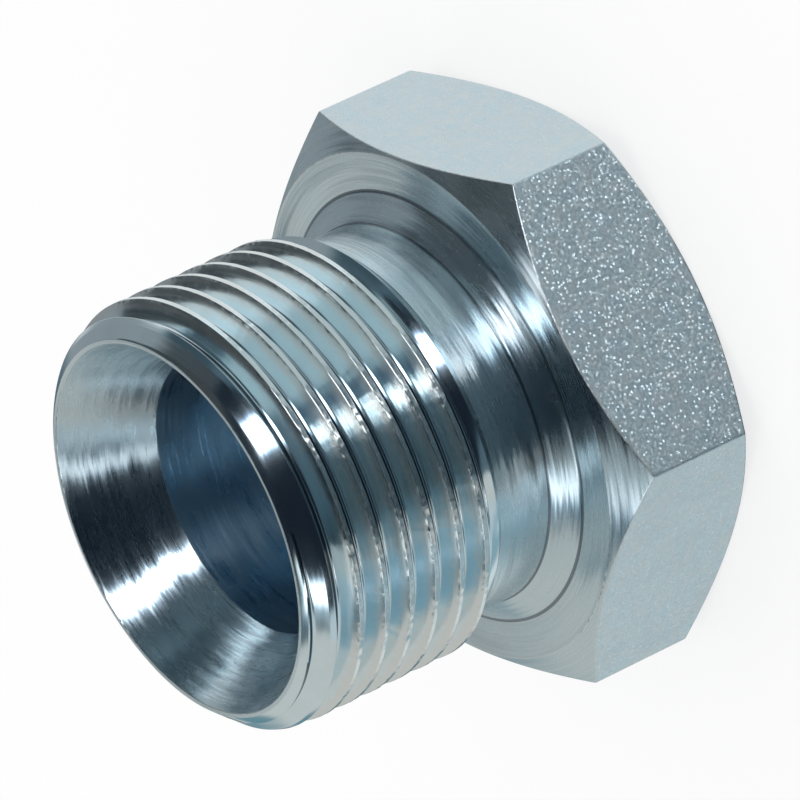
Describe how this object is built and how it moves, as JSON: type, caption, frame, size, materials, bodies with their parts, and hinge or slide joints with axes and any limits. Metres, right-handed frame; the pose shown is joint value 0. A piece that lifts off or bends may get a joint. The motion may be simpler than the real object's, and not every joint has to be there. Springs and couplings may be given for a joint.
{
  "type": "hex head pipe plug",
  "caption": "Short hexagon head plug with a parallel pipe thread, a relief neck under the head, a rounded nose with a 60 degree cone seat and a blind bore.",
  "frame": {"origin": "centre of the outer face of the head, on which the plug stands", "axes": "+Z along the thread's axis from the head to the tip; +X through a corner of the hexagon, -Y square to one of its flats"},
  "size_m": [0.037, 0.032, 0.0288],
  "materials": {
    "zinc_plate": "bright zinc plate with a blue passivated tint over fine turning marks"
  },
  "bodies": {
    "root": {"plug": "zinc_plate"}
  },
  "joints": []
}
